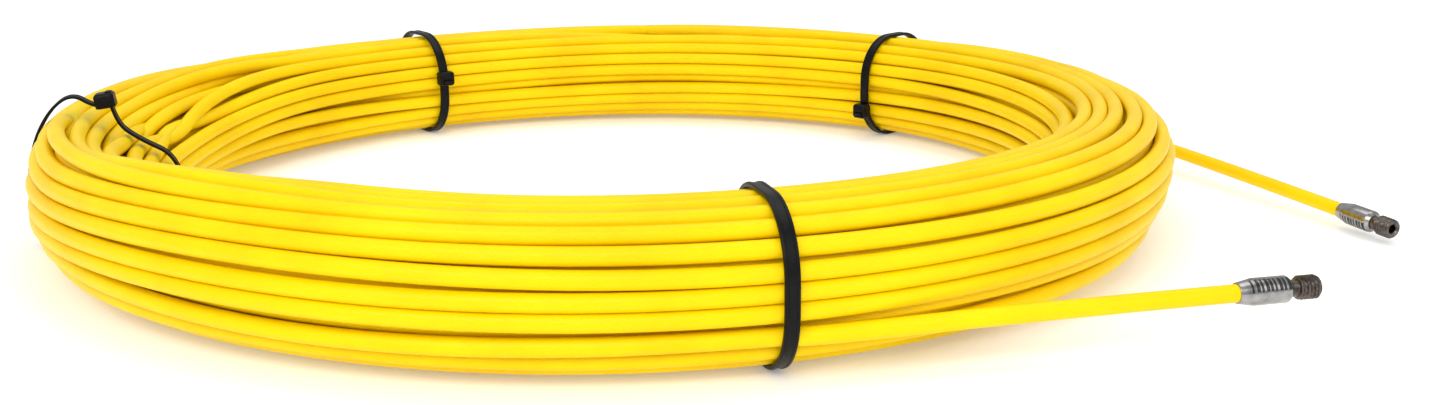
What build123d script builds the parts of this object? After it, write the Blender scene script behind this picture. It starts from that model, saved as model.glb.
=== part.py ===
from build123d import *
import math
import os

# Coil of electrician's fish tape: one springy rod with a glass-fibre core and a plastic
# jacket, wound by hand into a flat ring, held by four cable ties, with a threaded steel
# end fitting on each free end.  Millimetres, +Z up, standing on z = 0.
# Everything is drawn about the coil's own vertical axis and then moved as a whole, so
# that the origin is under the middle of the bounding box.

# --- driving dimensions -----------------------------------------------------------
ROD_DIAMETER = 4.5
CORE_DIAMETER = 3.0

COIL_INNER_RADIUS = 138.0
COIL_OUTER_RADIUS = 178.0
COIL_BOTTOM = 1.3
COIL_TOP = 40.0
COIL_CORNER_RADIUS = 16.0
LOW_COIL_TOP = 38.5
EXIT_OUTER_RADIUS = 173.3

# azimuths are in degrees, anticlockwise from +X
LOW_SECTOR = (168.0, 222.0)
FRONT_EXIT_SECTOR = (-72.0, -59.0)
REAR_EXIT_SECTOR = (80.0, 125.0)

STRAP_WIDTH = 3.6
STRAP_THICKNESS = 1.2
STRAP_GAP = 0.1
HEAD_LENGTH = 5.6
HEAD_HEIGHT = 4.8
HEAD_WIDTH = 6.0
SLOT_CLEARANCE = 0.12
SLOT_OFFSET = -1.2

# name: azimuth of the loop, height of the head on the inner wall
TIGHT_TIES = {
    "front": (-73.0, 9.0),
    "back_right": (50.0, 12.0),
    "back_left": (127.0, 24.5),
}
LOOSE_TIE_AZIMUTH = 197.0
# middle line of the slack strap, from the head's base round the coil and up through the
# head's slot: distance from the coil's axis and height
LOOSE_STRAP = [
    (156.0, 40.8),
    (159.3, 41.0),
    (165.0, 45.2),
    (171.2, 41.0),
    (176.5, 32.0),
    (179.4, 20.0),
    (179.4, 0.6),
    (136.6, 0.6),
    (136.6, 24.0),
    (148.6, 30.9),
    (154.25, 36.4),
    (155.4, 45.4),
]
LOOSE_STRAP_BENDS = [2.5, 5.0, 7.0, 20.0, 20.0, 11.0, 11.0, 5.0, 8.0, 3.0]
# the turns keep inside this outline where the slack strap can slide over them
SLACK_LOOP_INSIDE = [
    (137.2, 0.0),
    (137.2, 23.0),
    (149.2, 29.8),
    (155.4, 35.7),
    (156.4, 40.5),
    (169.9, 40.5),
    (175.2, 31.5),
    (178.2, 19.8),
    (178.2, 0.0),
]
LOOSE_HEAD_PLACE = (155.9, 40.2)
LOOSE_HEAD_ANGLE = 82.0

PAWL_WIDTH = 2.8
PAWL_PIVOT_RADIUS = 0.38
PAWL_PIVOT = (1.85, 1.05)
CHAMBER_WIDTH = 3.1

# free ends of the rod: route points about the coil's axis
FRONT_ROUTE = [(54.4, -167.4, 11.0), (107.0, -154.8, 12.8), (158.1, -141.8, 13.1)]
FRONT_FLEX_DISTANCE = 33.0
REAR_ROUTE = [
    (-101.0, 144.2, 8.0),
    (-79.7, 159.1, 8.4),
    (-30.8, 176.9, 8.2),
    (21.1, 181.4, 8.4),
    (72.4, 172.4, 8.1),
    (119.5, 150.4, 8.2),
    (159.4, 116.9, 8.6),
    (189.3, 74.3, 8.7),
    (227.4, -33.2, 5.5),
]
REAR_FLEX_RUN = 6
REAR_FLEX_DISTANCE = 26.0
BALL_GAP = 0.08

# end fitting, along its axis from the point where the rod goes in
SLEEVE_MOUTH_DIAMETER = 5.1
SLEEVE_DIAMETER = 6.7
SLEEVE_CONE_END = 4.1
SLEEVE_BODY_END = 13.1
SLEEVE_END = 14.2
SLEEVE_NOSE_DIAMETER = 4.9
ROD_DEPTH_IN_SLEEVE = 11.3
STEM_DIAMETER = 3.4
NECK_DIAMETER = 4.2
NECK_END = 16.2
THREAD_DIAMETER = 6.0
THREAD_END = 21.7
THREAD_CHAMFER = 0.45
STUD_BORE_DIAMETER = 2.6
STUD_BORE_DEPTH = 4.3
STUD_BORE_COUNTERSINK = 0.15


def on_ring(azimuth, radius, height=0.0):
    """A point at an azimuth about the coil's axis."""
    angle = math.radians(azimuth)
    return Vector(radius * math.cos(angle), radius * math.sin(angle), height)


def loop_plane(azimuth):
    """The upright plane through the coil's axis: local x is outwards, local y is up."""
    outwards = on_ring(azimuth, 1.0)
    return Plane(origin=(0, 0, 0), x_dir=outwards, z_dir=outwards.cross(Vector(0, 0, 1)))


# --- the coil -----------------------------------------------------------------------
def coil_section(outer_radius, top, corner_radius):
    """Outline of the bundle of turns: a rectangle with well rounded corners."""
    width = outer_radius - COIL_INNER_RADIUS
    height = top - COIL_BOTTOM
    middle = (COIL_INNER_RADIUS + width / 2, COIL_BOTTOM + height / 2)
    return Pos(*middle) * RectangleRounded(width, height, corner_radius)


def coil_sector(start, end, outer_radius, top, outline=None):
    section = coil_section(outer_radius, top, COIL_CORNER_RADIUS)
    if outline:
        section = section & make_face(Polyline(*outline, close=True))
    return revolve(loop_plane(start) * section, Axis.Z, revolution_arc=end - start)


def build_coil():
    """The wound turns as one closed ring, lower where they lie inside the slack tie."""
    full = (COIL_OUTER_RADIUS, COIL_TOP)
    low = (COIL_OUTER_RADIUS, LOW_COIL_TOP, SLACK_LOOP_INSIDE)
    narrow = (EXIT_OUTER_RADIUS, COIL_TOP)
    sectors = [
        coil_sector(*FRONT_EXIT_SECTOR, *narrow),
        coil_sector(FRONT_EXIT_SECTOR[1], REAR_EXIT_SECTOR[0], *full),
        coil_sector(*REAR_EXIT_SECTOR, *narrow),
        coil_sector(REAR_EXIT_SECTOR[1], LOW_SECTOR[0], *full),
        coil_sector(*LOW_SECTOR, *low),
        coil_sector(LOW_SECTOR[1], FRONT_EXIT_SECTOR[0] + 360.0, *full),
    ]
    coil = sectors[0]
    for sector in sectors[1:]:
        coil = coil + sector
    return coil


# --- the free rod ends --------------------------------------------------------------
def bend_radii(route):
    """As large as each pair of runs allows, one radius for each corner."""
    points = [Vector(*point) for point in route]
    radii = []
    for before, corner, after in zip(points, points[1:], points[2:]):
        run_in = corner - before
        run_out = after - corner
        half_turn = math.radians(run_in.get_angle(run_out)) / 2
        radii.append(0.45 * min(run_in.length, run_out.length) / math.tan(half_turn))
    return radii


def route_wire(route):
    """Straight runs joined by tangent arcs."""
    if len(route) == 2:
        return Wire([Edge.make_line(Vector(*route[0]), Vector(*route[1]))])
    radii = bend_radii(route)
    print("bend radii", [round(radius) for radius in radii])
    return Wire(FilletPolyline(*route, radius=radii).edges())


def tube_along(route, diameter):
    path = route_wire(route)
    start = Plane(origin=path @ 0, z_dir=path % 0)
    tube = sweep(start * Circle(diameter / 2), path=path)
    expected = math.pi * diameter**2 / 4 * path.length
    print("tube", round(path.length, 1), "mm long, volume ratio", round(tube.volume / expected, 4))
    return tube


def split_route(route, run, distance):
    """Cut a route on its run of that number, a distance past the run's start."""
    start = Vector(*route[run])
    along = (Vector(*route[run + 1]) - start).normalized()
    cut = start + along * distance
    return cut, along, route[: run + 1] + [tuple(cut)], [tuple(cut)] + route[run + 1:]


def build_rod_end(route, run, distance):
    """The still lead, and the jacket and core that flex with the end fitting."""
    flex_point, along, still, moving = split_route(route, run, distance)
    ball_radius = ROD_DIAMETER / 2
    lead_end = flex_point - along * (ball_radius + BALL_GAP)
    lead = tube_along(still[:-1] + [tuple(lead_end)], ROD_DIAMETER)

    fitting_start = Vector(*moving[-1])
    fitting_axis = (fitting_start - Vector(*moving[-2])).normalized()
    rod_tip = fitting_start + fitting_axis * ROD_DEPTH_IN_SLEEVE
    inner_route = moving[:-1] + [tuple(rod_tip)]
    core = tube_along(inner_route, CORE_DIAMETER)
    outside = tube_along(inner_route, ROD_DIAMETER)
    ball = Pos(flex_point) * Sphere(ball_radius)
    jacket = (outside + ball) - core
    return lead, jacket, core, Plane(origin=fitting_start, z_dir=fitting_axis), flex_point


def turned(profile):
    """A turned piece about local Z, from its half section as (radius, distance) points."""
    section = Plane.XZ * make_face(Polyline(*profile, close=True))
    return revolve(section, Axis.Z)


def build_sleeve():
    rod_bore = ROD_DIAMETER / 2
    stem_bore = STEM_DIAMETER / 2
    return turned([
        (rod_bore, 0.0),
        (SLEEVE_MOUTH_DIAMETER / 2, 0.0),
        (SLEEVE_DIAMETER / 2, SLEEVE_CONE_END),
        (SLEEVE_DIAMETER / 2, SLEEVE_BODY_END),
        (SLEEVE_NOSE_DIAMETER / 2, SLEEVE_END),
        (stem_bore, SLEEVE_END),
        (stem_bore, ROD_DEPTH_IN_SLEEVE),
        (rod_bore, ROD_DEPTH_IN_SLEEVE),
    ])


def build_stud():
    """Threaded head at its major diameter, relief neck and the stem inside the sleeve."""
    thread = THREAD_DIAMETER / 2
    bore = STUD_BORE_DIAMETER / 2
    bore_floor = THREAD_END - STUD_BORE_DEPTH
    return turned([
        (0.0, ROD_DEPTH_IN_SLEEVE),
        (STEM_DIAMETER / 2, ROD_DEPTH_IN_SLEEVE),
        (STEM_DIAMETER / 2, SLEEVE_END),
        (NECK_DIAMETER / 2, SLEEVE_END),
        (NECK_DIAMETER / 2, NECK_END),
        (thread - THREAD_CHAMFER, NECK_END),
        (thread, NECK_END + THREAD_CHAMFER),
        (thread, THREAD_END - THREAD_CHAMFER),
        (thread - THREAD_CHAMFER, THREAD_END),
        (bore + STUD_BORE_COUNTERSINK, THREAD_END),
        (bore, THREAD_END - STUD_BORE_COUNTERSINK),
        (bore, bore_floor),
        (0.0, bore_floor - bore / 2),
    ])


# --- cable ties ---------------------------------------------------------------------
def head_outline(low, high, near, far):
    """A rectangle in head axes: x along the strap, y away from the bundle."""
    return Pos((near + far) / 2, (low + high) / 2) * Rectangle(far - near, high - low)


def build_head():
    """The moulded head about local X, Y: a block with a slot, a chamber and the cut tail."""
    block = extrude(head_outline(0.0, HEAD_HEIGHT, -HEAD_LENGTH / 2, HEAD_LENGTH / 2), HEAD_WIDTH / 2, both=True)
    block = chamfer(block.edges().filter_by(Axis.Z).group_by(Axis.Y)[-1], 0.7)
    half_slot = STRAP_THICKNESS / 2 + SLOT_CLEARANCE
    slot = extrude(
        head_outline(STRAP_THICKNESS, HEAD_HEIGHT + 1, SLOT_OFFSET - half_slot, SLOT_OFFSET + half_slot),
        STRAP_WIDTH / 2 + SLOT_CLEARANCE,
        both=True,
    )
    chamber = extrude(head_outline(STRAP_THICKNESS + 0.15, 4.1, SLOT_OFFSET, 2.05), CHAMBER_WIDTH / 2, both=True)
    tail = extrude(
        head_outline(
            STRAP_THICKNESS / 2,
            HEAD_HEIGHT + 0.3,
            SLOT_OFFSET - STRAP_THICKNESS / 2,
            SLOT_OFFSET + STRAP_THICKNESS / 2,
        ),
        STRAP_WIDTH / 2,
        both=True,
    )
    return block - slot - chamber + tail


def build_pawl():
    """The catch in the chamber: a round root and a leaning finger with two teeth."""
    root_x, root_y = PAWL_PIVOT[1], PAWL_PIVOT[0]
    face = SLOT_OFFSET + STRAP_THICKNESS / 2 + 0.1
    finger = make_face(Polyline(
        (root_x - 0.30, root_y + 0.2),
        (root_x + 0.34, root_y),
        (face + 1.15, 3.85),
        (face + 0.35, 3.95),
        (face, 3.80),
        (face + 0.38, 3.40),
        (face + 0.02, 3.28),
        (face + 0.55, 2.80),
        close=True,
    ))
    profile = finger + Pos(root_x, root_y) * Circle(PAWL_PIVOT_RADIUS)
    return extrude(profile, PAWL_WIDTH / 2, both=True)


def head_plane(azimuth, place, angle):
    """Head axes in the coil: y away from the bundle, at an angle up from outwards."""
    loop = loop_plane(azimuth)
    away = loop.x_dir * math.cos(math.radians(angle)) + loop.y_dir * math.sin(math.radians(angle))
    origin = loop.from_local_coords(Vector(place[0], place[1], 0))
    return Plane(origin=origin, x_dir=away.cross(loop.z_dir), z_dir=loop.z_dir)


def strap_outline(gap):
    width = COIL_OUTER_RADIUS - COIL_INNER_RADIUS + 2 * gap
    height = COIL_TOP - COIL_BOTTOM + 2 * gap
    middle = ((COIL_INNER_RADIUS + COIL_OUTER_RADIUS) / 2, (COIL_TOP + COIL_BOTTOM) / 2)
    return Pos(*middle) * RectangleRounded(width, height, COIL_CORNER_RADIUS + gap)


def build_tight_tie(azimuth, head_height):
    """A strap pulled snug round the turns, its head on the coil's inner wall."""
    band = strap_outline(STRAP_GAP + STRAP_THICKNESS) - strap_outline(STRAP_GAP)
    strap = extrude(loop_plane(azimuth) * band, STRAP_WIDTH / 2, both=True)
    place = (COIL_INNER_RADIUS - STRAP_GAP, head_height)
    plane = head_plane(azimuth, place, 180.0)
    return strap + plane * build_head(), plane * build_pawl(), plane


def build_loose_tie():
    """The fourth tie: a slack loop that stands up over the low part of the coil."""
    loop = loop_plane(LOOSE_TIE_AZIMUTH)
    path = loop * Wire(FilletPolyline(*LOOSE_STRAP, radius=LOOSE_STRAP_BENDS).edges())
    start = Plane(origin=path @ 0, x_dir=loop.z_dir, z_dir=path % 0)
    strap = sweep(start * Rectangle(STRAP_WIDTH, STRAP_THICKNESS), path=path)
    plane = head_plane(LOOSE_TIE_AZIMUTH, LOOSE_HEAD_PLACE, LOOSE_HEAD_ANGLE)
    return strap + plane * build_head(), plane * build_pawl(), plane


# --- assembly -----------------------------------------------------------------------
nodes = {"rod_coil": build_coil()}
marks = {}

for side, route, run, distance in (
    ("front", FRONT_ROUTE, 0, FRONT_FLEX_DISTANCE),
    ("rear", REAR_ROUTE, REAR_FLEX_RUN, REAR_FLEX_DISTANCE),
):
    lead, jacket, core, fitting, flex_point = build_rod_end(route, run, distance)
    nodes[f"{side}_rod_lead"] = lead - nodes["rod_coil"]
    nodes[f"{side}_end_jacket"] = jacket
    nodes[f"{side}_end_core"] = core
    nodes[f"{side}_sleeve"] = fitting * build_sleeve()
    nodes[f"{side}_threaded_stud"] = fitting * build_stud()
    marks[f"{side} flex point"] = flex_point
    marks[f"{side} fitting start"] = fitting.origin
    marks[f"{side} thread middle"] = fitting.origin + fitting.z_dir * (NECK_END + THREAD_END) / 2
    marks[f"{side} stud face"] = fitting.origin + fitting.z_dir * THREAD_END

for name, (azimuth, head_height) in TIGHT_TIES.items():
    tie, pawl, plane = build_tight_tie(azimuth, head_height)
    nodes[f"tie_{name}"] = tie
    nodes[f"pawl_{name}"] = pawl
    marks[f"{name} pawl pivot"] = plane.from_local_coords(Vector(PAWL_PIVOT[1], PAWL_PIVOT[0], 0))

tie, pawl, plane = build_loose_tie()
nodes["tie_left_loose"] = tie
nodes["pawl_left_loose"] = pawl
marks["left_loose pawl pivot"] = plane.from_local_coords(Vector(PAWL_PIVOT[1], PAWL_PIVOT[0], 0))

box = Compound(children=[Compound(shape.solids()) for shape in nodes.values()]).bounding_box()
shift = Vector(-(box.min.X + box.max.X) / 2, -(box.min.Y + box.max.Y) / 2, -box.min.Z)
print("coil axis at", round(shift.X, 3), round(shift.Y, 3), "lowest point was", round(box.min.Z, 4))
for mark, point in marks.items():
    moved = point + shift
    print(mark, [round(value, 3) for value in tuple(moved)])

os.makedirs("parts", exist_ok=True)
for name, shape in nodes.items():
    placed = Pos(shift) * shape
    export_step(placed, f"parts/{name}.step")
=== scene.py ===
import math

import bmesh
import bpy
import numpy as np
from mathutils import Matrix, Vector


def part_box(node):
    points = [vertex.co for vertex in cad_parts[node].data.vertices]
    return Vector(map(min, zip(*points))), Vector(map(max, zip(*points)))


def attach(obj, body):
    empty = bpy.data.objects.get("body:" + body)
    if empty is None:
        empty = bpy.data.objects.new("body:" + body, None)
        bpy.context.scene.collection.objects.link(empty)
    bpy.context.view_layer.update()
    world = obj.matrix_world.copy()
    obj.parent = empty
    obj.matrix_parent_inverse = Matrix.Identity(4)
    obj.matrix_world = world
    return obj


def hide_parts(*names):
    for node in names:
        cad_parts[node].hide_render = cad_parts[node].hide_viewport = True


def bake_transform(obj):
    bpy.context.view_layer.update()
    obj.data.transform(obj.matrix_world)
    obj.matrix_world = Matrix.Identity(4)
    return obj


# Looks of a coil of electrician's fish tape: one long yellow rod wound by hand, four black
# cable ties and a threaded steel fitting on each free end.  Metres, in the CAD's frame.
# Azimuths are in degrees about the coil's axis, from +X towards +Y.

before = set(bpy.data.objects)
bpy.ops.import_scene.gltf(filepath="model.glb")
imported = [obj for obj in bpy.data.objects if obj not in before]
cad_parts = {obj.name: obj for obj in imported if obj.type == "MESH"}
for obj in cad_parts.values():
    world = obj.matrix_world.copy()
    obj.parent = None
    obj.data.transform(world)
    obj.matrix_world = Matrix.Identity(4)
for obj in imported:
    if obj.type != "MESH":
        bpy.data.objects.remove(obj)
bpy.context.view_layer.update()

MM = 0.001

# --- sizes shared with the CAD -------------------------------------------------------
ROD_DIAMETER = 4.5 * MM
ROD_RADIUS = ROD_DIAMETER / 2
coil_low, coil_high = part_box("rod_coil")
COIL_OUTER = (coil_high.x - coil_low.x) / 2
COIL_WIDTH = 40.0 * MM
COIL_INNER = COIL_OUTER - COIL_WIDTH
COIL_BOTTOM = coil_low.z
COIL_TOP = coil_high.z
COIL_AXIS = Vector(((coil_low.x + coil_high.x) / 2, coil_low.y + COIL_OUTER, 0.0))
COIL_CORNER = 16.0 * MM
FRONT_TIE_AZIMUTH = -73.0
BACK_RIGHT_TIE_AZIMUTH = 50.0
BACK_LEFT_TIE_AZIMUTH = 127.0
LOOSE_TIE_AZIMUTH = 197.0
FRONT_HEAD_HEIGHT = 9.0 * MM
BACK_RIGHT_HEAD_HEIGHT = 12.0 * MM
BACK_LEFT_HEAD_HEIGHT = 24.5 * MM
# distance from the coil's axis and height of the slack tie's head
LOOSE_HEAD_PLACE = (155.9 * MM, 40.2 * MM)
# which way a head points, in degrees round from outwards through up
TIGHT_HEAD_ANGLE = 180.0
LOOSE_HEAD_ANGLE = 82.0
STRAP_WIDTH = 3.6 * MM
STRAP_THICKNESS = 1.2 * MM
STRAP_GAP = 0.1 * MM
CORNER_STEPS = 14
HEAD_LENGTH = 5.6 * MM
HEAD_WIDTH = 6.0 * MM
SLOT_OFFSET = -1.2 * MM
SLOT_HALF = 0.72 * MM
SLOT_SIDE = STRAP_WIDTH / 2 + 0.12 * MM
CHAMBER_END = 2.14 * MM

# free ends of the rod, in millimetres from the foot of the coil's axis: from where the rod
# comes out of the turns to where it goes into its fitting
FRONT_ROUTE = [(54.4, -167.4, 11.0), (107.0, -154.8, 12.8), (158.1, -141.8, 13.1)]
REAR_ROUTE = [
    (-101.0, 144.2, 8.0),
    (-79.7, 159.1, 8.4),
    (-30.8, 176.9, 8.2),
    (21.1, 181.4, 8.4),
    (72.4, 172.4, 8.1),
    (119.5, 150.4, 8.2),
    (159.4, 116.9, 8.6),
    (189.3, 74.3, 8.7),
    (227.4, -33.2, 5.5),
]
ROD_DEPTH_IN_SLEEVE = 11.3 * MM

# end fitting, as (radius, distance along it) and single sizes
SLEEVE_PROFILE = [
    (2.26 * MM, 0.0), (2.45 * MM, 0.0), (2.56 * MM, 0.12 * MM), (3.27 * MM, 3.90 * MM),
    (3.33 * MM, 4.06 * MM), (3.35 * MM, 4.20 * MM), (3.35 * MM, 12.95 * MM),
    (3.28 * MM, 13.15 * MM), (2.52 * MM, 14.1 * MM), (2.42 * MM, 14.2 * MM),
    (1.75 * MM, 14.2 * MM), (1.75 * MM, 11.35 * MM), (2.26 * MM, 11.35 * MM),
]
STEM_PROFILE = [
    (1.68 * MM, 11.35 * MM), (1.68 * MM, 14.2 * MM), (2.0 * MM, 14.22 * MM),
    (2.1 * MM, 14.35 * MM), (2.1 * MM, 16.1 * MM), (2.45 * MM, 16.2 * MM),
]
THREAD_MINOR = 2.45 * MM
THREAD_MAJOR = 3.0 * MM
THREAD_PITCH = 0.95 * MM
THREAD_START = 16.22 * MM
THREAD_END = 21.7 * MM
THREAD_STEP = 0.09 * MM
THREAD_SIDES = 56
THREAD_CHAMFER_RADIUS = 2.5 * MM
BORE_RADIUS = 1.3 * MM
BORE_MOUTH_RADIUS = 1.67 * MM
BORE_DEPTH = 4.3 * MM
BORE_TIP_DEPTH = 4.9 * MM
# the row of bars printed on the sleeve, and the degrees that it is turned up from level
PRINT_START = 2.6 * MM
PRINT_END = 13.4 * MM
PRINT_PITCH = 1.2 * MM
PRINT_HALF_HEIGHT = 1.7 * MM
FRONT_PRINT_ANGLE = 46.0
REAR_PRINT_ANGLE = -32.0

# middle line of the slack tie's strap, as distance from the coil's axis and height in
# millimetres: from its head over the turns, down the outside, under them and back up
SLACK_ROUTE = [
    (156.0, 40.8), (159.3, 41.0), (165.0, 45.2), (171.2, 41.0), (176.5, 32.0), (179.4, 20.0),
    (179.4, 0.6), (136.6, 0.6), (136.6, 24.0), (148.6, 30.9), (154.25, 36.4), (155.4, 45.4),
]
# the sloping runs of the strap that the turns must stay under, each with the turns on its
# right, and the azimuths between which they must, for the tie to slide.  Beyond those the
# runs are moved out by STRAP_RELEASE, and hold nothing
SLACK_RUNS = [SLACK_ROUTE[8:11], SLACK_ROUTE[3:6]]
SLACK_TRAVEL = (178.0, 221.0)
SLACK_TRAVEL_RAMP = 8.0
STRAP_CLEARANCE = 0.75 * MM
STRAP_RELEASE = 12.0 * MM
SLACK_STRAP_THINNESS = 0.75

# --- how the rod is wound --------------------------------------------------------------
WHOLE_TURNS = 49
POINTS_PER_TURN = 45
POINTS_PAST_WHOLE_TURNS = 20
LAST_POINT = WHOLE_TURNS * POINTS_PER_TURN + POINTS_PAST_WHOLE_TURNS
POINT_STEP = 360.0 / POINTS_PER_TURN
OUTER_LAYER = 22
SECOND_LAYER = 19
SPACING_UNEVENNESS = 0.55
LAYER_DEPTH = 0.9 * ROD_DIAMETER
WINDING_SEED = 7
# the share of the way round the bundle where each layer starts, and how far the order in
# which the rod takes its places is mixed
FIRST_SHARE = 0.33
SHUFFLE = 3.4
# the rod moves to its next place over this share of the way there, up to this much of a
# turn early or late
CHANGE_OVER = 0.7
CHANGE_OFFSET = 0.35
# it wanders in waves, but less within this many degrees of a tight tie
WANDER = 2.3 * MM
WAVES_PER_TURN = (1.7, 3.1, 4.6)
TIE_HOLD = 45.0
RELAX_ROUNDS = 260
SETTLE_ROUNDS = 90
HOME_PULL = 0.05
RELAX_STIFFNESS = 0.05
SETTLE_STIFFNESS = 0.02
PUSH_SHARE = 0.4

# how the bundle's section departs from the CAD's: higher and rounder at the left, its foot
# leaning out a little at the near left, lower at the back left, and narrower and leaning in
# at the right
LEFT_RISE = 3.6 * MM
LEFT_ROUNDING = 2.5 * MM
LEFT_LEAN_OUT = 1.5 * MM
BACK_DIP = 0.9 * MM
RIGHT_NARROWING = 1.4 * MM
RIGHT_LEAN_IN = 5.5 * MM
INNER_NARROWING = 0.7 * MM
# in half heights of the section: the lean starts this far above its middle and is whole
# this far further down
LEAN_TOP = 0.35
LEAN_DEPTH = 1.2


def smooth(x):
    x = np.clip(x, 0.0, 1.0)
    return x * x * (3 - 2 * x)


def window(azimuth, start, end, ramp):
    """1 from start to end and 0 away from them, with a smooth ramp on each side."""
    middle = (start + end) / 2
    away = np.abs((azimuth - middle + 180.0) % 360.0 - 180.0)
    return 1.0 - smooth((away - (end - start) / 2) / ramp)


class Section:
    """The space that the turns fill, at each of a turn's points."""

    def __init__(self, azimuth):
        right = window(azimuth, -12.0, 14.0, 30.0)
        left = window(azimuth, 172.0, 236.0, 26.0)
        top = COIL_TOP + LEFT_RISE * left - BACK_DIP * window(azimuth, 112.0, 138.0, 25.0)
        outer = COIL_OUTER - RIGHT_NARROWING * right
        inner = COIL_INNER + INNER_NARROWING
        self.corner = COIL_CORNER + LEFT_ROUNDING * left
        self.middle = np.stack([(inner + outer) / 2, (top + COIL_BOTTOM) / 2], -1)
        self.half = np.stack([(outer - inner) / 2, (top - COIL_BOTTOM) / 2], -1)
        self.lean = RIGHT_LEAN_IN * right - LEFT_LEAN_OUT * window(azimuth, 218.0, 236.0, 14.0)
        self.off_strap = 1.0 - window(azimuth, *SLACK_TRAVEL, SLACK_TRAVEL_RAMP)

    def outline(self, share, inset):
        """At each station, the point at that share of the way round the outline moved in by
        inset, as (distance from the axis, height)."""
        half = self.half - inset
        corner = np.maximum(self.corner - inset, 0.5 * MM)
        straight = 2 * (half - corner[:, None])
        arc = corner * math.pi / 2
        found = np.zeros((len(corner), 2))
        for station in range(len(corner)):
            lengths = [
                straight[station, 0] / 2, arc[station], straight[station, 1], arc[station],
                straight[station, 0], arc[station], straight[station, 1], arc[station],
                straight[station, 0] / 2,
            ]
            found[station] = self.walk(lengths, share, half[station], corner[station])
        return found + self.middle

    @staticmethod
    def walk(lengths, share, half, corner):
        """From the middle of the top outwards and down: a place on a rounded rectangle."""
        left = (share % 1.0) * sum(lengths)
        centre = half - corner
        starts = [
            ((0.0, half[1]), (1, 0)), ((centre[0], centre[1]), 90.0),
            ((half[0], centre[1]), (0, -1)), ((centre[0], -centre[1]), 0.0),
            ((centre[0], -half[1]), (-1, 0)), ((-centre[0], -centre[1]), -90.0),
            ((-half[0], -centre[1]), (0, 1)), ((-centre[0], centre[1]), 180.0),
            ((-centre[0], half[1]), (1, 0)),
        ]
        for length, (start, way) in zip(lengths, starts):
            if left <= length:
                if isinstance(way, tuple):
                    return np.array(start) + left * np.array(way)
                angle = math.radians(way) - left / corner
                return np.array(start) + corner * np.array([math.cos(angle), math.sin(angle)])
            left -= length
        return np.array([0.0, half[1]])

    def hold(self, points):
        """Moves each point that is outside the section, or too near its wall, back in."""
        height = (points[..., 1] - self.middle[:, None, 1]) / self.half[:, None, 1]
        shift = self.lean[:, None] * smooth((LEAN_TOP - height) / LEAN_DEPTH)
        local = points - self.middle[:, None]
        local[..., 0] += shift
        half = (self.half - ROD_RADIUS)[:, None]
        corner = (self.corner - ROD_RADIUS)[:, None]
        beyond = np.maximum(np.abs(local) - (half - corner[..., None]), 0.0)
        far = np.linalg.norm(beyond, axis=-1)
        excess = np.maximum(far - corner, 0.0)
        local -= np.sign(local) * beyond / np.maximum(far, 1e-9)[..., None] * excess[..., None]
        local[..., 0] -= shift
        held = local + self.middle[:, None]
        clear = ROD_RADIUS + STRAP_CLEARANCE - STRAP_RELEASE * self.off_strap
        for route in SLACK_RUNS:
            for start, end in zip(route, route[1:]):
                run = np.array(end) - start
                away = np.array([-run[1], run[0]]) / np.linalg.norm(run)
                over = (held - MM * np.array(start)) @ away + clear[:, None]
                held -= np.maximum(over, 0.0)[..., None] * away
        return held


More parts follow.
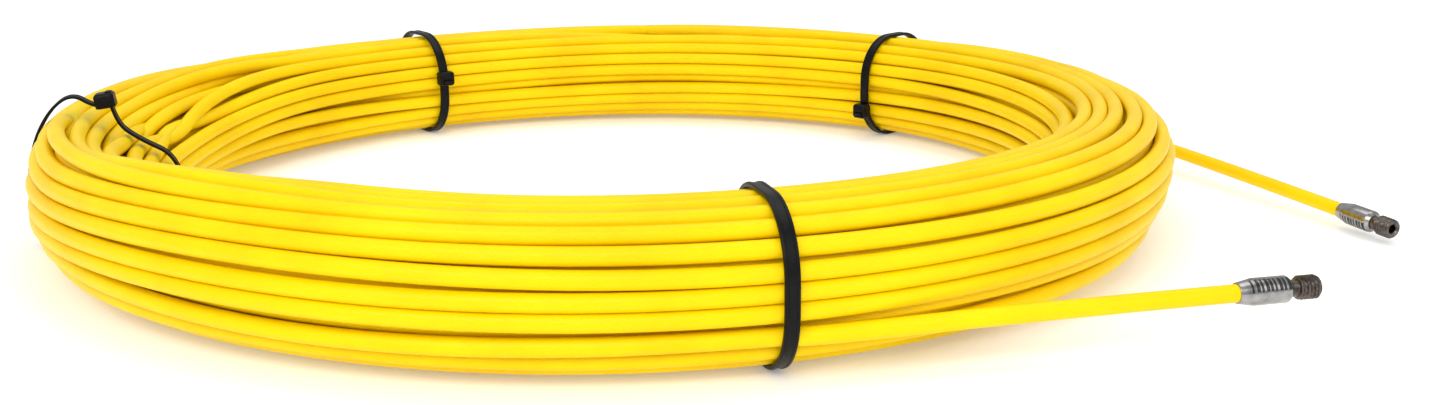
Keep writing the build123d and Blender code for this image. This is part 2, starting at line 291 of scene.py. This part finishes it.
def wind_coil():
    """The rod's middle line from its front end to its rear one, as (point, xyz).

    Each turn has a place of its own in the bundle and drifts from one to the next as it goes
    round.  The turns are then pushed apart, held in the bundle's outline and smoothed along
    the rod until they lie side by side."""
    chance = np.random.default_rng(WINDING_SEED)
    azimuth = FRONT_TIE_AZIMUTH - POINT_STEP * np.arange(POINTS_PER_TURN)
    section = Section(azimuth)
    tied = np.ones(POINTS_PER_TURN)
    for tie in (FRONT_TIE_AZIMUTH, BACK_RIGHT_TIE_AZIMUTH, BACK_LEFT_TIE_AZIMUTH):
        tied = np.minimum(tied, smooth(np.abs((azimuth - tie + 180) % 360 - 180) / TIE_HOLD))

    turns = WHOLE_TURNS + 1
    core = turns - OUTER_LAYER - SECOND_LAYER
    uneven = SPACING_UNEVENNESS * (chance.random(OUTER_LAYER) - 0.5)
    uneven[:2] = 0.0
    places = [(0, FIRST_SHARE + (n + uneven[n]) / OUTER_LAYER) for n in range(OUTER_LAYER)]
    places += [(1, FIRST_SHARE + n / SECOND_LAYER) for n in range(SECOND_LAYER)]
    places += [(2, FIRST_SHARE + n / core) for n in range(core)]
    # the rod starts in place 0, takes the others in a mixed rising order and ends in place 1
    order = np.argsort(np.arange(1, turns - 1) + SHUFFLE * chance.random(turns - 2)) + 2
    sequence = np.array([0, *order, 1])
    spots = np.stack(
        [section.outline(share, ROD_RADIUS + layer * LAYER_DEPTH) for layer, share in places], 1
    )

    number = np.arange(LAST_POINT + 1)
    station = number % POINTS_PER_TURN
    turn = number // POINTS_PER_TURN
    offset = CHANGE_OFFSET * (2 * chance.random(turns + 1) - 1)
    offset[0] = 0.0
    arrival = np.arange(turns + 1) + offset
    along = number / POINTS_PER_TURN
    leg = np.clip(np.searchsorted(arrival, along, side="right") - 1, 0, turns - 2)
    share = (along - arrival[leg]) / (arrival[leg + 1] - arrival[leg])
    share = smooth((share - 0.5) / CHANGE_OVER + 0.5)[:, None]
    home = (1 - share) * spots[station, sequence[leg]] + share * spots[station, sequence[leg + 1]]

    wander = np.zeros_like(home)
    for waves in WAVES_PER_TURN:
        for side in range(2):
            phase = 2 * math.pi * chance.random(turns + 1)
            between = np.interp(along, np.arange(turns + 1), np.unwrap(phase))
            wander[:, side] += np.sin(2 * math.pi * waves * along + between) / waves
    home += WANDER * wander * tied[station][:, None]

    grid = np.full((POINTS_PER_TURN, turns), -1)
    grid[station, turn] = number
    missing = grid < 0
    # the last turn is short, and its missing points are put far from the coil
    far_off = 10.0 + np.arange(turns)[None, :, None] * np.ones((POINTS_PER_TURN, 1, 2))

    line = home.copy()
    for step in range(RELAX_ROUNDS + SETTLE_ROUNDS):
        settling = step >= RELAX_ROUNDS
        pull = 0.0 if settling else HOME_PULL
        line += pull * (home - line)
        inner = line[2:-2]
        bend = line[:-4] - 4 * line[1:-3] + 6 * inner - 4 * line[3:-1] + line[4:]
        line[2:-2] = inner - (SETTLE_STIFFNESS if settling else RELAX_STIFFNESS) * bend
        for _ in range(2):
            points = line[grid]
            points[missing] = far_off[missing]
            gap = points[:, :, None] - points[:, None]
            far = np.linalg.norm(gap, axis=-1)
            close = (far < ROD_DIAMETER) & (far > 1e-9)
            push = np.where(close, (ROD_DIAMETER - far) / np.maximum(far, 1e-9), 0.0)
            move = (gap * push[..., None]).sum(2)
            points += PUSH_SHARE * move
            points = section.hold(points)
            line[grid[~missing]] = points[~missing]
    angle = np.radians(FRONT_TIE_AZIMUTH - POINT_STEP * number)
    # a quadratic spline runs a little inside its control points
    reach = line[:, 0] / (0.75 + 0.25 * math.cos(math.radians(POINT_STEP)))
    return np.stack([
        COIL_AXIS.x + reach * np.cos(angle),
        COIL_AXIS.y + reach * np.sin(angle),
        line[:, 1],
    ], -1)


# --- curves and tubes --------------------------------------------------------------------
def nurbs_curve(name, points, radius, resolution):
    data = bpy.data.curves.new(name, "CURVE")
    data.dimensions = "3D"
    data.resolution_u = resolution
    data.bevel_depth = radius
    data.bevel_resolution = 5
    data.use_fill_caps = True
    spline = data.splines.new("NURBS")
    spline.points.add(len(points) - 1)
    for control, point in zip(spline.points, points):
        control.co = (*point, 1.0)
    spline.order_u = 3
    spline.use_endpoint_u = True
    curve = bpy.data.objects.new(name, data)
    bpy.context.scene.collection.objects.link(curve)
    return curve


def line_of(points, resolution=14):
    """The smooth line that a NURBS spline draws through its control points."""
    curve = nurbs_curve("route", points, 0.0, resolution)
    mesh = bpy.data.meshes.new_from_object(curve)
    line = [v.co.copy() for v in mesh.vertices]
    bpy.data.meshes.remove(mesh)
    data = curve.data
    bpy.data.objects.remove(curve)
    bpy.data.curves.remove(data)
    return line


def new_mesh(name, vertices, faces):
    mesh = bpy.data.meshes.new(name)
    mesh.from_pydata([tuple(v) for v in vertices], [], faces)
    mesh.update()
    mesh.polygons.foreach_set("use_smooth", [True] * len(mesh.polygons))
    piece = bpy.data.objects.new(name, mesh)
    bpy.context.scene.collection.objects.link(piece)
    return piece


def tube(name, line, radius, sides=20):
    """A closed tube round a line, its rings kept from twisting."""
    vertices, faces = [], []
    side = None
    for number, point in enumerate(line):
        before = line[max(number - 1, 0)]
        after = line[min(number + 1, len(line) - 1)]
        ahead = (after - before).normalized()
        if side is None:
            side = ahead.orthogonal().normalized()
        side = (side - ahead * side.dot(ahead)).normalized()
        other = ahead.cross(side)
        for k in range(sides):
            angle = 2 * math.pi * k / sides
            vertices.append(point + radius * (math.cos(angle) * side + math.sin(angle) * other))
    for ring in range(len(line) - 1):
        for k in range(sides):
            a = ring * sides + k
            b = ring * sides + (k + 1) % sides
            faces.append((a, b, b + sides, a + sides))
    faces.append(tuple(reversed(range(sides))))
    last = (len(line) - 1) * sides
    faces.append(tuple(range(last, last + sides)))
    return new_mesh(name, vertices, faces)


# --- materials -----------------------------------------------------------------------------
def new_material(name, **values):
    material = bpy.data.materials.new(name)
    material.use_nodes = True
    shader = material.node_tree.nodes["Principled BSDF"]
    for socket, value in values.items():
        shader.inputs[socket.replace("_", " ")].default_value = value
    return material, material.node_tree, shader


def add_node(tree, kind, **values):
    node = tree.nodes.new(kind)
    for key, value in values.items():
        if hasattr(node, key):
            setattr(node, key, value)
        else:
            node.inputs[key.replace("_", " ")].default_value = value
    return node


def colour_ramp(tree, stops):
    node = tree.nodes.new("ShaderNodeValToRGB")
    elements = node.color_ramp.elements
    while len(elements) < len(stops):
        elements.new(0.5)
    for element, (position, colour) in zip(elements, stops):
        element.position = position
        element.color = (*colour, 1.0)
    return node


def jacket_material():
    """Satin yellow plastic, a little uneven in tone, with faint draw lines and scuffs."""
    material, tree, shader = new_material(
        "yellow_jacket", Roughness=0.36, IOR=1.46, Specular_IOR_Level=0.15,
        Subsurface_Weight=0.16, Subsurface_Radius=(1.0, 0.35, 0.02), Subsurface_Scale=0.0020,
    )
    place = tree.nodes.new("ShaderNodeTexCoord")
    tone = add_node(tree, "ShaderNodeTexNoise", Scale=34.0, Detail=3.0, Roughness=0.55)
    tree.links.new(place.outputs["Object"], tone.inputs["Vector"])
    colours = colour_ramp(tree, [
        (0.30, (0.885, 0.580, 0.0002)),
        (0.52, (0.925, 0.645, 0.0003)),
        (0.78, (0.950, 0.700, 0.0006)),
    ])
    tree.links.new(tone.outputs["Fac"], colours.inputs["Fac"])
    fine = add_node(tree, "ShaderNodeTexNoise", Scale=900.0, Detail=4.0, Roughness=0.6)
    tree.links.new(place.outputs["Object"], fine.inputs["Vector"])
    scuffs = add_node(tree, "ShaderNodeTexNoise", Scale=260.0, Detail=6.0, Roughness=0.75)
    tree.links.new(place.outputs["Object"], scuffs.inputs["Vector"])
    scuffed = colour_ramp(tree, [(0.66, (0.0, 0.0, 0.0)), (0.80, (0.30, 0.30, 0.30))])
    tree.links.new(scuffs.outputs["Fac"], scuffed.inputs["Fac"])
    mix = add_node(tree, "ShaderNodeMixRGB")
    mix.inputs["Color2"].default_value = (0.80, 0.49, 0.004, 1.0)
    tree.links.new(scuffed.outputs["Color"], mix.inputs["Fac"])
    tree.links.new(colours.outputs["Color"], mix.inputs["Color1"])
    tree.links.new(mix.outputs["Color"], shader.inputs["Base Color"])
    gloss = add_node(tree, "ShaderNodeMapRange")
    gloss.inputs["To Min"].default_value = 0.30
    gloss.inputs["To Max"].default_value = 0.48
    tree.links.new(fine.outputs["Fac"], gloss.inputs["Value"])
    tree.links.new(gloss.outputs["Result"], shader.inputs["Roughness"])
    bump = add_node(tree, "ShaderNodeBump", Strength=0.06, Distance=0.0002)
    tree.links.new(fine.outputs["Fac"], bump.inputs["Height"])
    tree.links.new(bump.outputs["Normal"], shader.inputs["Normal"])
    return material


def nylon_material():
    """Black moulded nylon with a soft sheen."""
    material, tree, shader = new_material("black_nylon", IOR=1.5, Specular_IOR_Level=0.16)
    place = tree.nodes.new("ShaderNodeTexCoord")
    fine = add_node(tree, "ShaderNodeTexNoise", Scale=1400.0, Detail=5.0)
    tree.links.new(place.outputs["Object"], fine.inputs["Vector"])
    colours = colour_ramp(tree, [(0.3, (0.0015, 0.0015, 0.002)), (0.7, (0.004, 0.004, 0.0045))])
    tree.links.new(fine.outputs["Fac"], colours.inputs["Fac"])
    tree.links.new(colours.outputs["Color"], shader.inputs["Base Color"])
    gloss = add_node(tree, "ShaderNodeMapRange")
    gloss.inputs["To Min"].default_value = 0.28
    gloss.inputs["To Max"].default_value = 0.44
    tree.links.new(fine.outputs["Fac"], gloss.inputs["Value"])
    tree.links.new(gloss.outputs["Result"], shader.inputs["Roughness"])
    bump = add_node(tree, "ShaderNodeBump", Strength=0.12, Distance=0.0001)
    tree.links.new(fine.outputs["Fac"], bump.inputs["Height"])
    tree.links.new(bump.outputs["Normal"], shader.inputs["Normal"])
    return material


def steel_material(name, dark, light, roughness):
    """Turned steel: fine lines round the piece's own Z axis, and a cloudy finish.

    Returned with its tree, shader, place and colours, for a print to be mixed in."""
    material, tree, shader = new_material(name, Metallic=1.0)
    place = tree.nodes.new("ShaderNodeTexCoord")
    stretch = add_node(tree, "ShaderNodeMapping")
    stretch.inputs["Scale"].default_value = (0.02, 0.02, 1.0)
    tree.links.new(place.outputs["Object"], stretch.inputs["Vector"])
    lines = add_node(tree, "ShaderNodeTexNoise", Scale=9000.0, Detail=2.0)
    tree.links.new(stretch.outputs["Vector"], lines.inputs["Vector"])
    clouds = add_node(tree, "ShaderNodeTexNoise", Scale=420.0, Detail=5.0)
    tree.links.new(place.outputs["Object"], clouds.inputs["Vector"])
    colours = colour_ramp(tree, [(0.3, dark), (0.7, light)])
    tree.links.new(clouds.outputs["Fac"], colours.inputs["Fac"])
    tree.links.new(colours.outputs["Color"], shader.inputs["Base Color"])
    gloss = add_node(tree, "ShaderNodeMapRange")
    gloss.inputs["To Min"].default_value = roughness - 0.08
    gloss.inputs["To Max"].default_value = roughness + 0.10
    tree.links.new(clouds.outputs["Fac"], gloss.inputs["Value"])
    tree.links.new(gloss.outputs["Result"], shader.inputs["Roughness"])
    bump = add_node(tree, "ShaderNodeBump", Strength=0.12, Distance=0.00005)
    tree.links.new(lines.outputs["Fac"], bump.inputs["Height"])
    tree.links.new(bump.outputs["Normal"], shader.inputs["Normal"])
    return material, tree, shader, place, colours


def maths(tree, operation, first, second=None):
    """A Math node fed by sockets or plain numbers."""
    node = tree.nodes.new("ShaderNodeMath")
    node.operation = operation
    for socket, value in zip(node.inputs, (first, second)):
        if value is None:
            continue
        if isinstance(value, (int, float)):
            socket.default_value = value
        else:
            tree.links.new(value, socket)
    return node.outputs[0]


def sleeve_material():
    """Bright plated steel with a row of plain black printed bars on the +X side."""
    material, tree, shader, place, colours = steel_material(
        "sleeve_steel", (0.24, 0.23, 0.22), (0.42, 0.415, 0.41), 0.22
    )
    split = tree.nodes.new("ShaderNodeSeparateXYZ")
    tree.links.new(place.outputs["Object"], split.inputs["Vector"])
    along = split.outputs["Z"]
    inside = maths(tree, "MULTIPLY",
                   maths(tree, "GREATER_THAN", along, PRINT_START),
                   maths(tree, "LESS_THAN", along, PRINT_END))
    across = maths(tree, "ABSOLUTE", split.outputs["Y"])
    inside = maths(tree, "MULTIPLY", inside, maths(tree, "LESS_THAN", across, PRINT_HALF_HEIGHT))
    inside = maths(tree, "MULTIPLY", inside, maths(tree, "GREATER_THAN", split.outputs["X"], 0.0))
    cell = maths(tree, "DIVIDE", maths(tree, "SUBTRACT", along, PRINT_START), PRINT_PITCH)
    uneven = maths(tree, "FRACT", maths(tree, "MULTIPLY", maths(tree, "FLOOR", cell), 0.618))
    width = maths(tree, "ADD", maths(tree, "MULTIPLY", uneven, 0.42), 0.45)
    bar = maths(tree, "LESS_THAN", maths(tree, "FRACT", cell), width)
    ink = maths(tree, "MULTIPLY", inside, bar)
    mix = add_node(tree, "ShaderNodeMixRGB")
    mix.inputs["Color2"].default_value = (0.008, 0.008, 0.008, 1.0)
    tree.links.new(ink, mix.inputs["Fac"])
    tree.links.new(colours.outputs["Color"], mix.inputs["Color1"])
    tree.links.new(mix.outputs["Color"], shader.inputs["Base Color"])
    tree.links.new(maths(tree, "SUBTRACT", 1.0, ink), shader.inputs["Metallic"])
    return material


JACKET = jacket_material()
NYLON = nylon_material()
SLEEVE_STEEL = sleeve_material()
STUD_STEEL, *_ = steel_material("stud_steel", (0.055, 0.044, 0.038), (0.20, 0.17, 0.15), 0.33)


def dress(piece, *materials):
    piece.data.materials.clear()
    for material in materials:
        piece.data.materials.append(material)


# --- the rod ---------------------------------------------------------------------------------
coil_points = wind_coil()
rod = nurbs_curve("wound_rod", coil_points, ROD_RADIUS, 3)
dress(rod, JACKET)
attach(rod, "coil")
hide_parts("rod_coil")


def free_end(side, route, start, print_angle):
    """The rod from under its tie to the bottom of its fitting, bending at the CAD's hinge."""
    points = [Vector(start)] + [COIL_AXIS + MM * Vector(point) for point in route]
    into_fitting = (points[-1] - points[-2]).normalized()
    fitting_start = points[-1]
    points[-1] = fitting_start + ROD_DEPTH_IN_SLEEVE * into_fitting
    line = line_of(points)
    piece = tube(f"{side}_free_rod", line, ROD_RADIUS)
    dress(piece, JACKET)
    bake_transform(piece)
    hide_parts(f"{side}_rod_lead", f"{side}_end_jacket", f"{side}_end_core")
    fitting = end_fitting(side, fitting_start, into_fitting, print_angle)


def turned(name, profile, sides, place):
    """A closed turned mesh about local Z from (radius, height) points, put at a place."""
    vertices, faces = [], []
    for radius, height in profile:
        for k in range(sides):
            angle = 2 * math.pi * k / sides
            vertices.append((radius * math.cos(angle), radius * math.sin(angle), height))
    rows = len(profile)
    for row in range(rows):
        for k in range(sides):
            a = row * sides + k
            b = row * sides + (k + 1) % sides
            ahead = (row + 1) % rows * sides
            c = ahead + (k + 1) % sides
            d = ahead + k
            faces.append((a, b, c, d))
    piece = new_mesh(name, vertices, faces)
    piece.matrix_world = place
    return piece


def threaded_stud(name, place):
    """The steel tip: neck, M6 thread cut as a helix, bored end face."""
    sides = THREAD_SIDES
    vertices, faces = [], []

    def add_ring(radius, height):
        for k in range(sides):
            angle = 2 * math.pi * k / sides
            vertices.append((radius * math.cos(angle), radius * math.sin(angle), height))

    for radius, height in STEM_PROFILE:
        add_ring(radius, height)
    steps = int((THREAD_END - THREAD_START) / THREAD_STEP)
    for step in range(steps + 1):
        height = THREAD_START + step * (THREAD_END - THREAD_START) / steps
        for k in range(sides):
            angle = 2 * math.pi * k / sides
            turn = (height / THREAD_PITCH - k / sides) % 1.0
            # 0 at the root and 1 at the crest, each with a narrow flat
            flank = min(max(2.3 * abs(turn - 0.5) - 0.08, 0.0), 1.0)
            radius = THREAD_MINOR + (THREAD_MAJOR - THREAD_MINOR) * flank
            entry = min(height - THREAD_START, THREAD_END - height) + THREAD_CHAMFER_RADIUS
            radius = min(radius, entry)
            vertices.append((radius * math.cos(angle), radius * math.sin(angle), height))
    add_ring(BORE_MOUTH_RADIUS, THREAD_END + 0.02 * MM)
    add_ring(BORE_RADIUS, THREAD_END - 0.35 * MM)
    add_ring(BORE_RADIUS, THREAD_END - BORE_DEPTH)
    add_ring(0.1 * MM, THREAD_END - BORE_TIP_DEPTH)
    rows = len(vertices) // sides
    for row in range(rows - 1):
        for k in range(sides):
            a = row * sides + k
            b = row * sides + (k + 1) % sides
            faces.append((a, b, b + sides, a + sides))
    faces.append(tuple(reversed(range(sides))))
    last = (rows - 1) * sides
    faces.append(tuple(range(last, last + sides)))
    piece = new_mesh(name, vertices, faces)
    piece.data.set_sharp_from_angle(angle=math.radians(24.0))
    piece.matrix_world = place
    return piece


def end_fitting(side, start, way, print_angle):
    """Crimped sleeve and threaded stud, along way from start.  The printed side faces
    sideways towards -Y, turned up by print_angle."""
    up = Vector((0, 0, 1))
    level = way.cross(up).normalized()
    upright = level.cross(way)
    if level.y > 0:
        level = -level
    angle = math.radians(print_angle)
    printed = math.cos(angle) * level + math.sin(angle) * upright
    place = Matrix((printed, way.cross(printed), way)).transposed().to_4x4()
    place.translation = start
    sleeve = turned(f"{side}_crimp_sleeve", SLEEVE_PROFILE, 72, place)
    sleeve.data.set_sharp_from_angle(angle=math.radians(22.0))
    dress(sleeve, SLEEVE_STEEL)
    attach(sleeve, f"{side}_end")
    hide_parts(f"{side}_sleeve")
    stud = threaded_stud(f"{side}_m6_stud", place)
    dress(stud, STUD_STEEL)
    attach(stud, f"{side}_end")
    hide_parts(f"{side}_threaded_stud")
    return [sleeve, stud]


free_end(
    "front", FRONT_ROUTE, coil_points[0], FRONT_PRINT_ANGLE
)
free_end("rear", REAR_ROUTE, coil_points[-1], REAR_PRINT_ANGLE)


# --- cable ties ------------------------------------------------------------------------------
def ring_point(azimuth, radius, height):
    angle = math.radians(azimuth)
    return COIL_AXIS + Vector((radius * math.cos(angle), radius * math.sin(angle), height))


def tight_route():
    """Round the turns once, half a strap's thickness off the CAD's outline of them."""
    off = STRAP_GAP + STRAP_THICKNESS / 2
    width = (COIL_OUTER - COIL_INNER) / 2 + off
    height = (COIL_TOP - COIL_BOTTOM) / 2 + off
    corner = COIL_CORNER + off
    middle = ((COIL_OUTER + COIL_INNER) / 2, (COIL_TOP + COIL_BOTTOM) / 2)
    route = []
    for quarter, (right, up) in enumerate(((1, 1), (-1, 1), (-1, -1), (1, -1))):
        for step in range(CORNER_STEPS + 1):
            angle = math.pi / 2 * (quarter + step / CORNER_STEPS)
            route.append((
                middle[0] + right * (width - corner) + corner * math.cos(angle),
                middle[1] + up * (height - corner) + corner * math.sin(angle),
            ))
    return route


def strap_section():
    """Flat strap across its length: rounded edges, and a shallow groove on the outside."""
    side = STRAP_WIDTH / 2
    half = STRAP_THICKNESS / 2
    return [
        (-side, -half + 0.3 * MM), (-side + 0.12 * MM, -half + 0.08 * MM),
        (-side + 0.35 * MM, -half), (side - 0.35 * MM, -half),
        (side - 0.12 * MM, -half + 0.08 * MM), (side, -half + 0.3 * MM),
        (side, half - 0.3 * MM), (side - 0.12 * MM, half - 0.08 * MM),
        (side - 0.35 * MM, half), (side - 0.75 * MM, half),
        (side - 0.90 * MM, half - 0.18 * MM), (-side + 0.90 * MM, half - 0.18 * MM),
        (-side + 0.75 * MM, half), (-side + 0.35 * MM, half),
        (-side + 0.12 * MM, half - 0.08 * MM), (-side, half - 0.3 * MM),
    ]


def add_strap(mesh, azimuth, route, closed, outward, thin):
    """Sweeps the strap's section along a route of (radius, height) in the loop's plane.  Its
    thickness is multiplied by thin."""
    section = strap_section()
    around = Vector((-math.sin(math.radians(azimuth)), math.cos(math.radians(azimuth)), 0.0))
    rings = []
    count = len(route)
    for number, (radius, height) in enumerate(route):
        before = route[number - 1 if closed else max(number - 1, 0)]
        after = route[(number + 1) % count if closed else min(number + 1, count - 1)]
        way = Vector((after[0] - before[0], after[1] - before[1])).normalized()
        out = Vector((way.y, -way.x)) * outward
        ring = []
        for across, thick in section:
            place = ring_point(
                azimuth, radius + out.x * thick * thin, height + out.y * thick * thin
            )
            ring.append(mesh.verts.new(place + around * across))
        rings.append(ring)
    size = len(section)
    pairs = list(zip(rings, rings[1:])) + ([(rings[-1], rings[0])] if closed else [])
    for ring, ahead in pairs:
        for k in range(size):
            mesh.faces.new((ring[k], ring[(k + 1) % size], ahead[(k + 1) % size], ahead[k]))
    if not closed:
        mesh.faces.new(reversed(rings[0]))
        mesh.faces.new(rings[-1])


def rectangle_ring(low, high, half_width, rounding):
    """Corners of a rectangle, each cut by two points, in the head's plane: 8 points."""
    return [
        (low + rounding, -half_width), (high - rounding, -half_width),
        (high, -half_width + rounding), (high, half_width - rounding),
        (high - rounding, half_width), (low + rounding, half_width),
        (low, half_width - rounding), (low, -half_width + rounding),
    ]


def add_head(mesh, origin, along, away, around):
    """The moulded head: rounded block with a through slot, open inside where the pawl sits,
    and the end of the strap through it."""
    far = HEAD_LENGTH / 2
    side = HEAD_WIDTH / 2
    slot = (SLOT_OFFSET - SLOT_HALF, SLOT_OFFSET + SLOT_HALF, SLOT_SIDE, 0.03 * MM)
    chamber = (SLOT_OFFSET - SLOT_HALF, CHAMBER_END, SLOT_SIDE, 0.03 * MM)
    # millimetres up from the head's foot, and the rectangle there: up the outside, then back
    # down the inside of the slot
    levels = [
        (0.30, (-far + 0.35 * MM, far - 0.35 * MM, side - 0.35 * MM, 0.8 * MM)),
        (0.55, (-far, far, side, 0.7 * MM)),
        (3.9, (-far, far, side, 0.7 * MM)),
        (4.45, (-far + 0.25 * MM, far - 0.25 * MM, side - 0.25 * MM, 0.7 * MM)),
        (4.75, (-far + 0.65 * MM, far - 0.65 * MM, side - 0.65 * MM, 0.6 * MM)),
        (4.80, (SLOT_OFFSET - SLOT_HALF - 0.3 * MM, SLOT_OFFSET + SLOT_HALF + 0.3 * MM,
                STRAP_WIDTH / 2 + 0.42 * MM, 0.2 * MM)),
        (4.55, slot), (4.20, slot), (4.18, chamber), (1.30, chamber), (1.28, slot), (0.30, slot),
    ]
    rings = []
    for level, size in levels:
        ring = [
            mesh.verts.new(origin + along * x + around * y + away * level * MM)
            for x, y in rectangle_ring(*size)
        ]
        rings.append(ring)
    for ring, ahead in zip(rings, rings[1:] + rings[:1]):
        for k in range(8):
            mesh.faces.new((ring[k], ring[(k + 1) % 8], ahead[(k + 1) % 8], ahead[k]))
    tail = []
    for level, shrink in ((0.6, 0.0), (4.95, 0.0), (5.1, 0.15)):
        size = (SLOT_OFFSET - STRAP_THICKNESS / 2 + shrink * MM,
                SLOT_OFFSET + STRAP_THICKNESS / 2 - shrink * MM,
                STRAP_WIDTH / 2 - shrink * MM, 0.12 * MM)
        tail.append([
            mesh.verts.new(origin + along * x + around * y + away * level * MM)
            for x, y in rectangle_ring(*size)
        ])
    for ring, ahead in zip(tail, tail[1:]):
        for k in range(8):
            mesh.faces.new((ring[k], ring[(k + 1) % 8], ahead[(k + 1) % 8], ahead[k]))
    mesh.faces.new(reversed(tail[0]))
    mesh.faces.new(tail[-1])


def cable_tie(name, azimuth, route, closed, outward, thin, head_place, head_angle, body):
    """Strap and head in one mesh, that replaces the CAD's tie of that name."""
    mesh = bmesh.new()
    add_strap(mesh, azimuth, route, closed, outward, thin)
    outwards = ring_point(azimuth, 1.0, 0.0) - COIL_AXIS
    around = outwards.cross(Vector((0, 0, 1)))
    angle = math.radians(head_angle)
    away = outwards * math.cos(angle) + Vector((0, 0, 1)) * math.sin(angle)
    add_head(mesh, ring_point(azimuth, *head_place), away.cross(around), away, around)
    bmesh.ops.recalc_face_normals(mesh, faces=mesh.faces)
    data = bpy.data.meshes.new(f"cable_tie_{name}")
    mesh.to_mesh(data)
    mesh.free()
    piece = bpy.data.objects.new(f"cable_tie_{name}", data)
    bpy.context.scene.collection.objects.link(piece)
    piece.data.shade_smooth()
    piece.data.set_sharp_from_angle(angle=math.radians(38.0))
    dress(piece, NYLON)
    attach(piece, body)
    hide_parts(f"tie_{name}")


for name, azimuth, head_height in (
    ("front", FRONT_TIE_AZIMUTH, FRONT_HEAD_HEIGHT),
    ("back_right", BACK_RIGHT_TIE_AZIMUTH, BACK_RIGHT_HEAD_HEIGHT),
    ("back_left", BACK_LEFT_TIE_AZIMUTH, BACK_LEFT_HEAD_HEIGHT),
):
    place = (COIL_INNER - STRAP_GAP, head_height)
    cable_tie(name, azimuth, tight_route(), True, 1.0, 1.0, place, TIGHT_HEAD_ANGLE, "coil")

slack_line = line_of([Vector((radius * MM, 0.0, height * MM)) for radius, height in SLACK_ROUTE])
slack_route = [(point.x, point.z) for point in slack_line]
cable_tie(
    "left_loose", LOOSE_TIE_AZIMUTH, slack_route, False, -1.0, SLACK_STRAP_THINNESS,
    LOOSE_HEAD_PLACE, LOOSE_HEAD_ANGLE, "slack_tie",
)

# the CAD's own solids that still show are the pawls in the ties' heads
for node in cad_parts.values():
    if not node.hide_render:
        dress(node, NYLON)

# --- floor, light and camera -----------------------------------------------------------------
floor = new_mesh("floor", [(-4, -3, 0), (4, -3, 0), (4, 5, 0), (-4, 5, 0)], [(0, 1, 2, 3)])
floor_material, _, _ = new_material(
    "pale_floor", Base_Color=(0.90, 0.90, 0.90, 1.0), Roughness=0.9, Specular_IOR_Level=0.1,
    Emission_Color=(1.0, 1.0, 1.0, 1.0), Emission_Strength=0.22,
)
dress(floor, floor_material)

world = bpy.data.worlds.new("studio")
world.use_nodes = True
background = world.node_tree.nodes["Background"]
background.inputs["Color"].default_value = (1.0, 1.0, 1.0, 1.0)
background.inputs["Strength"].default_value = 0.61
bpy.context.scene.world = world


def softbox(name, place, target, size, power):
    """A rectangular light of that size in metres and power in watts, facing target."""
    data = bpy.data.lights.new(name, "AREA")
    data.shape = "RECTANGLE"
    data.size, data.size_y = size
    data.energy = power
    light = bpy.data.objects.new(name, data)
    light.location = place
    light.rotation_euler = (Vector(target) - Vector(place)).to_track_quat("-Z", "Y").to_euler()
    bpy.context.scene.collection.objects.link(light)


softbox("key", (-0.22, -0.82, 0.62), (0, -0.1, 0), (0.9, 0.5), 5.2)
softbox("fill", (0.9, -0.8, 0.7), (0, 0, 0), (0.9, 0.7), 2.6)
softbox("top", (0.1, 0.3, 1.4), (0, 0, 0), (1.4, 1.0), 6.5)

# the camera stands in front of the coil, a little to the right, and looks down at it
CAMERA_PLACE = Vector((44.26, -463.1, 115.9)) * MM
CAMERA_TILT = 14.08
camera_data = bpy.data.cameras.new("camera")
camera_data.lens = 35.37
camera_data.sensor_width = 36.0
camera_data.shift_x = -0.023
camera = bpy.data.objects.new("camera", camera_data)
camera.location = COIL_AXIS + CAMERA_PLACE
camera.rotation_euler = (math.radians(90.0 - CAMERA_TILT), 0.0, 0.0)
bpy.context.scene.collection.objects.link(camera)
bpy.context.scene.camera = camera
bpy.context.scene.view_settings.view_transform = "Standard"
